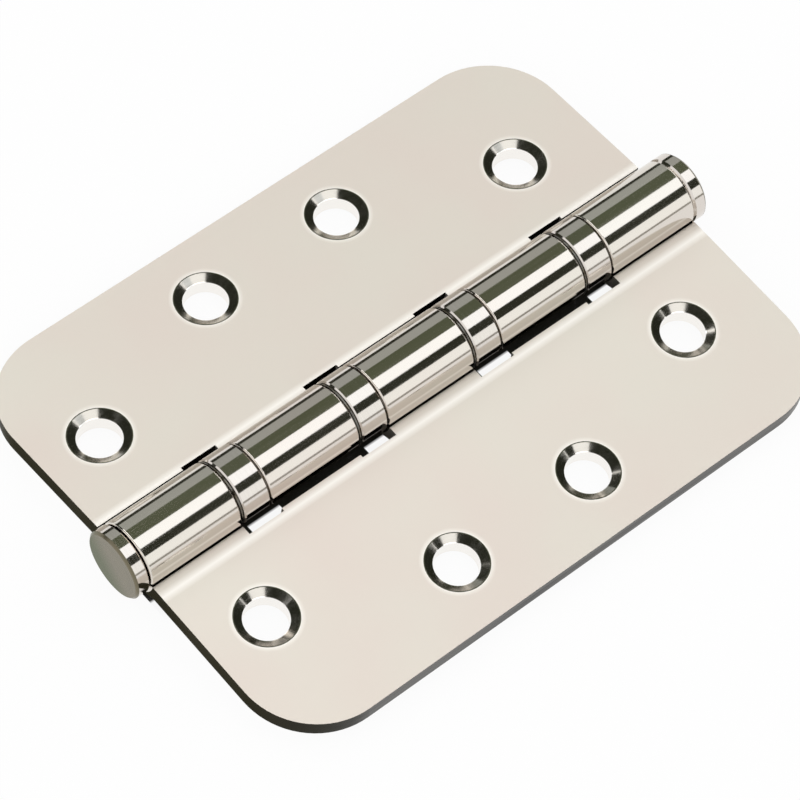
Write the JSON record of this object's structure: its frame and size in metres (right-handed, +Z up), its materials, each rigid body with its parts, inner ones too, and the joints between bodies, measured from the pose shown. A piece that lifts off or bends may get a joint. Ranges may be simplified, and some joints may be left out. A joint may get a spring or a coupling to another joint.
{
  "type": "ball bearing butt hinge",
  "caption": "Open butt hinge of polished nickel-plated steel sheet: rounded leaves with countersunk screw holes, rolled knuckles on one pin and thrust ball bearings between the knuckles.",
  "frame": {"origin": "on the floor, below the middle of the pin", "axes": "+X along the pin, +Y towards the door leaf, +Z up from the floor that the open hinge lies on"},
  "size_m": [0.105, 0.0748, 0.0108],
  "materials": {
    "nickel_plate": "polished nickel plate on steel",
    "pin_steel": "ground steel, lightly oiled",
    "race_steel": "hardened steel, greased",
    "ball_steel": "polished bearing steel",
    "cage_brass": "stamped brass, greased"
  },
  "bodies": {
    "jamb": {"jamb_leaf": "nickel_plate", "hinge_pin": "pin_steel", "near_end_button": "nickel_plate", "far_end_button": "nickel_plate", "bearing_shell_1": "nickel_plate", "bearing_shell_2": "nickel_plate", "bearing_shell_3": "nickel_plate", "bearing_shell_4": "nickel_plate", "jamb_race_1": "race_steel", "jamb_race_2": "race_steel", "jamb_race_3": "race_steel", "jamb_race_4": "race_steel"},
    "door": {"door_leaf": "nickel_plate", "door_race_1": "race_steel", "door_race_2": "race_steel", "door_race_3": "race_steel", "door_race_4": "race_steel"},
    "ball_ring_1": {"ball_cage_1": "cage_brass", "bearing_balls_1": "ball_steel"},
    "ball_ring_2": {"ball_cage_2": "cage_brass", "bearing_balls_2": "ball_steel"},
    "ball_ring_3": {"ball_cage_3": "cage_brass", "bearing_balls_3": "ball_steel"},
    "ball_ring_4": {"ball_cage_4": "cage_brass", "bearing_balls_4": "ball_steel"}
  },
  "joints": [
    {"name": "door_swing", "type": "hinge", "parent": "jamb", "child": "door", "pos_m": [0, 0, 0.0054], "axis": [1, 0, 0], "range_deg": [-84.2, 185.8]},
    {"name": "ball_roll_1", "type": "hinge", "parent": "jamb", "child": "ball_ring_1", "pos_m": [0, 0, 0.0054], "axis": [1, 0, 0], "range_deg": [-42.1, 92.9]},
    {"name": "ball_roll_2", "type": "hinge", "parent": "jamb", "child": "ball_ring_2", "pos_m": [0, 0, 0.0054], "axis": [1, 0, 0], "range_deg": [-42.1, 92.9]},
    {"name": "ball_roll_3", "type": "hinge", "parent": "jamb", "child": "ball_ring_3", "pos_m": [0, 0, 0.0054], "axis": [1, 0, 0], "range_deg": [-42.1, 92.9]},
    {"name": "ball_roll_4", "type": "hinge", "parent": "jamb", "child": "ball_ring_4", "pos_m": [0, 0, 0.0054], "axis": [1, 0, 0], "range_deg": [-42.1, 92.9]}
  ],
  "couplings": [
    {"joint": "ball_roll_1", "follows": "door_swing", "ratio": 0.5},
    {"joint": "ball_roll_2", "follows": "door_swing", "ratio": 0.5},
    {"joint": "ball_roll_3", "follows": "door_swing", "ratio": 0.5},
    {"joint": "ball_roll_4", "follows": "door_swing", "ratio": 0.5}
  ]
}
